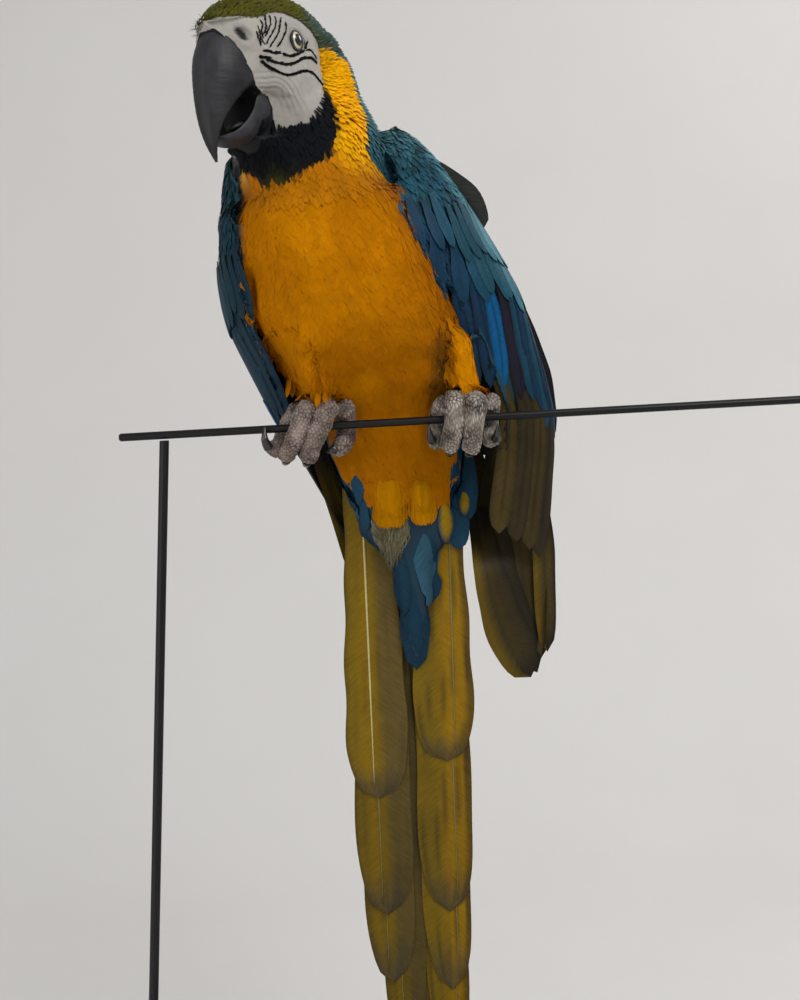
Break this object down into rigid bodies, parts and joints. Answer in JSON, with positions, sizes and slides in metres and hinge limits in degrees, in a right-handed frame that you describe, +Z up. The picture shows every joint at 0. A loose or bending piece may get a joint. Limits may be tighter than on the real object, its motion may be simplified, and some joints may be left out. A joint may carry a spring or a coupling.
{
  "type": "parrot",
  "caption": "Life-size macaw perched on a cut rod, head turned to its right, long tail hanging down behind, on a flat base with upright rods.",
  "frame": {"origin": "middle of the base's underside, on the floor", "axes": "+Z up, the bird faces -Y, the bird's left side is +X"},
  "size_m": [0.54, 0.25, 0.8102],
  "materials": {
    "feathers_gold": "soft feathers",
    "feathers_green": "soft feathers",
    "feathers_teal": "satin feathers",
    "feathers_blue": "satin feathers",
    "feathers_olive": "satin feathers",
    "feathers_black": "soft feathers",
    "face_skin": "bare matte skin",
    "foot_skin": "scaly skin",
    "bill_horn": "satin horn",
    "claw_horn": "glossy horn",
    "eye": "wet gloss",
    "rod_steel": "satin black paint",
    "base_board": "satin black paint"
  },
  "bodies": {
    "root": {"trunk": "feathers_gold", "neck": "feathers_gold", "head": "feathers_green", "bill_upper": "bill_horn", "bill_lower": "bill_horn", "eye_left": "eye", "eye_right": "eye", "wing_left": "feathers_teal", "wing_right": "feathers_teal", "primaries_left": "feathers_blue", "primaries_right": "feathers_blue", "tail": "feathers_olive", "undertail": "feathers_blue", "thigh_left": "feathers_gold", "thigh_right": "feathers_gold", "foot_left": "foot_skin", "foot_right": "foot_skin", "toe_left_front_inner": "foot_skin", "toe_left_front_outer": "foot_skin", "toe_left_rear_inner": "foot_skin", "toe_left_rear_outer": "foot_skin", "toe_right_front_inner": "foot_skin", "toe_right_front_outer": "foot_skin", "toe_right_rear_inner": "foot_skin", "toe_right_rear_outer": "foot_skin", "claw_left_front_inner": "claw_horn", "claw_left_front_outer": "claw_horn", "claw_left_rear_inner": "claw_horn", "claw_left_rear_outer": "claw_horn", "claw_right_front_inner": "claw_horn", "claw_right_front_outer": "claw_horn", "claw_right_rear_inner": "claw_horn", "claw_right_rear_outer": "claw_horn", "perch": "rod_steel", "stand_rod_left": "rod_steel", "stand_rod_right": "rod_steel", "stand_base": "base_board"}
  },
  "joints": []
}
